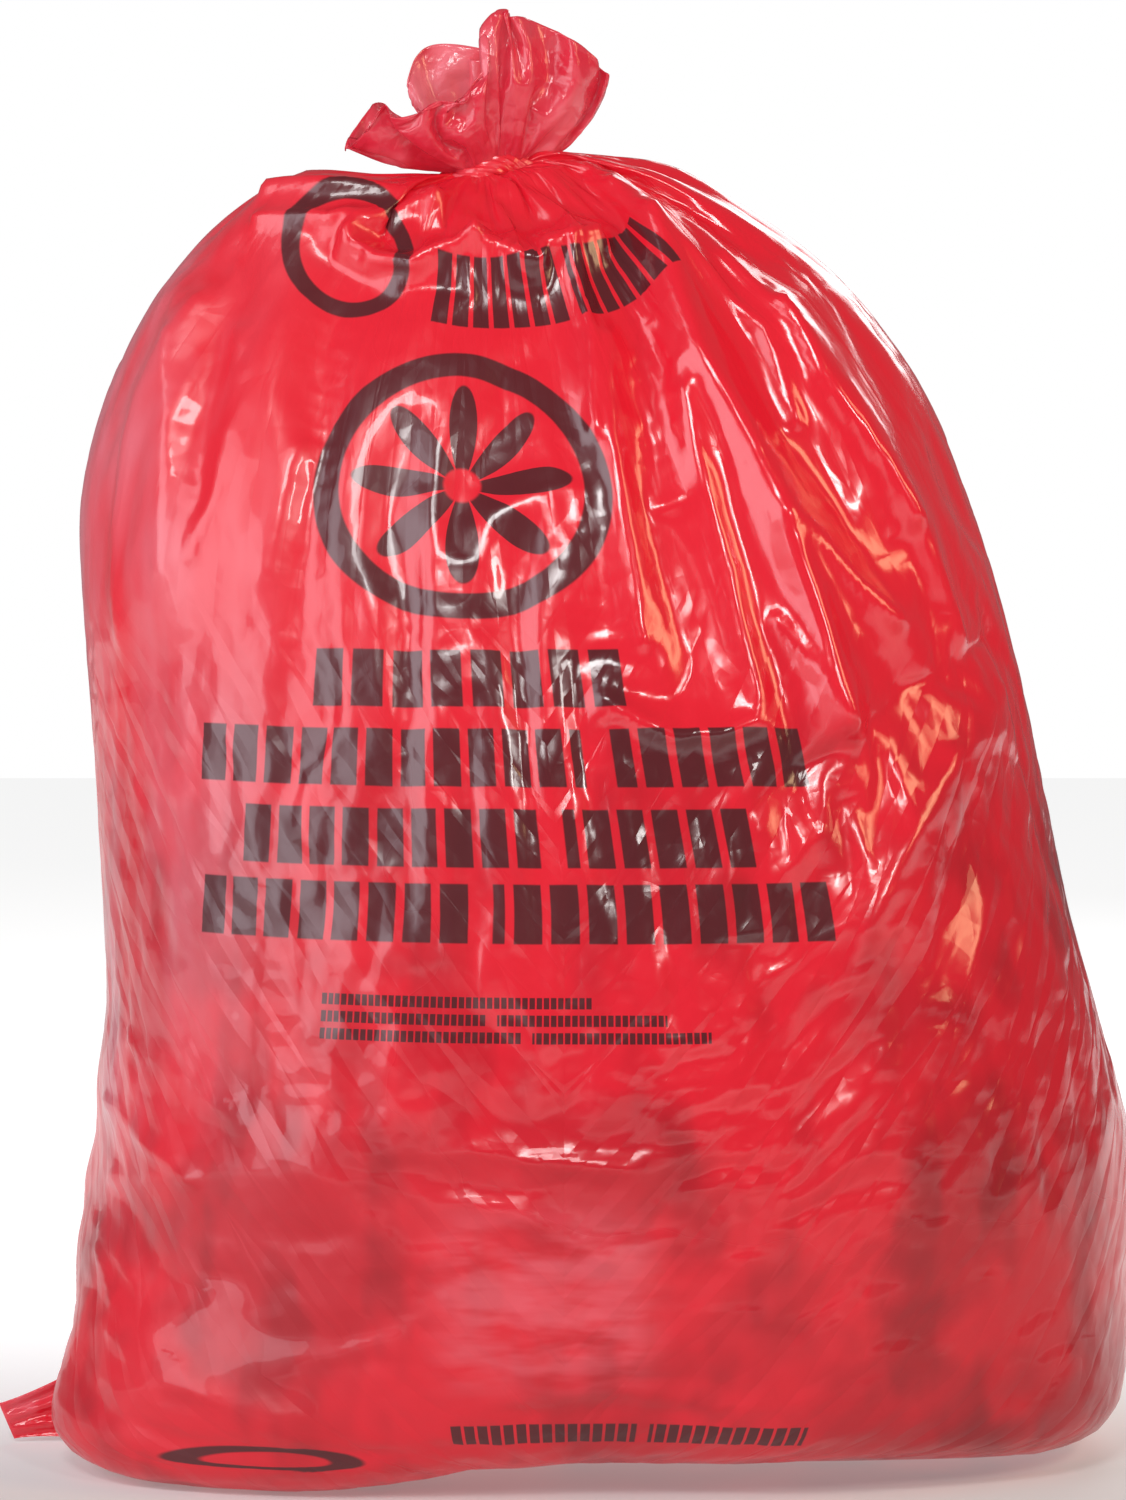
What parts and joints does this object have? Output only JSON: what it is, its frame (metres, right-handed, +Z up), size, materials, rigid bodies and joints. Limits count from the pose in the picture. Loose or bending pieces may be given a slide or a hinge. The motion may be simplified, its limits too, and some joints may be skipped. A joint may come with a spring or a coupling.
{
  "type": "biohazard waste bag",
  "caption": "Filled red plastic film waste bag, tied in its own neck with a knot, free-standing on a flat base, with a flared tuft above the knot and a seal corner at one side.",
  "frame": {"origin": "on the floor under the middle of the bag's outer box, at the level of its resting face", "axes": "+Z up through the bag to the knot and tuft, +X to the right when facing the printed front, and -Y the printed front"},
  "size_m": [0.5988, 0.3982, 0.761],
  "materials": {
    "red_film": "glossy thin translucent red polyethylene film, wrinkled",
    "loose_waste": "crumpled mixed paper and non-woven waste, seen dimly through the film"
  },
  "bodies": {
    "root": {"film_bag": "red_film", "waste_fill": "loose_waste"}
  },
  "joints": []
}
